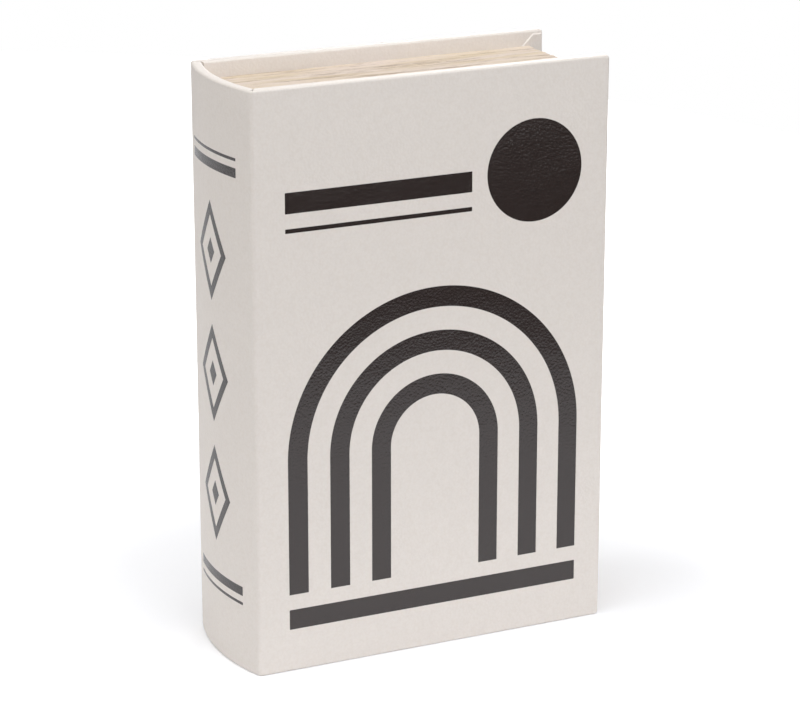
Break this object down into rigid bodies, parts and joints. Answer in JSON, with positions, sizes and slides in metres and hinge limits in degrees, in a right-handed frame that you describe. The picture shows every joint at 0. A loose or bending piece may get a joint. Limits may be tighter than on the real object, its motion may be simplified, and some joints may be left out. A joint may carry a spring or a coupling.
{
  "type": "book box",
  "caption": "Storage box in the shape of a bound book: leatherette covers and rounded spine round a lined tray, front cover as hinged lid.",
  "frame": {"origin": "centre of the bounding box on the surface that the book stands on, at its tail edges", "axes": "+Z from tail to head, +X from spine to fore-edge, -Y out of the front cover, which is the lid"},
  "size_m": [0.18, 0.07, 0.27],
  "materials": {
    "leatherette": "fine-grained off-white leatherette, satin",
    "board": "raw medium-density fibreboard",
    "page_paper": "matt paper printed and embossed as page edges",
    "lining": "matt lining paper",
    "magnet": "nickel-plated magnet"
  },
  "bodies": {
    "box": {"hinge_strip": "leatherette", "spine_board": "board", "spine_skin": "leatherette", "back_fold": "leatherette", "back_board": "board", "back_skin": "leatherette", "tray_floor": "board", "head_wall": "board", "tail_wall": "board", "fore_edge_wall": "board", "spine_wall": "board", "page_paper": "page_paper", "hinge_lining": "leatherette", "tray_side_lining": "lining", "tray_floor_lining": "lining", "tray_magnets": "magnet"},
    "lid": {"lid_board": "board", "lid_skin": "leatherette", "lid_lining": "lining", "lid_magnets": "magnet"}
  },
  "joints": [
    {"name": "lid_hinge", "type": "hinge", "parent": "box", "child": "lid", "pos_m": [-0.084, -0.035, 0.135], "axis": [0, 0, -1], "range_deg": [0, 175]}
  ]
}
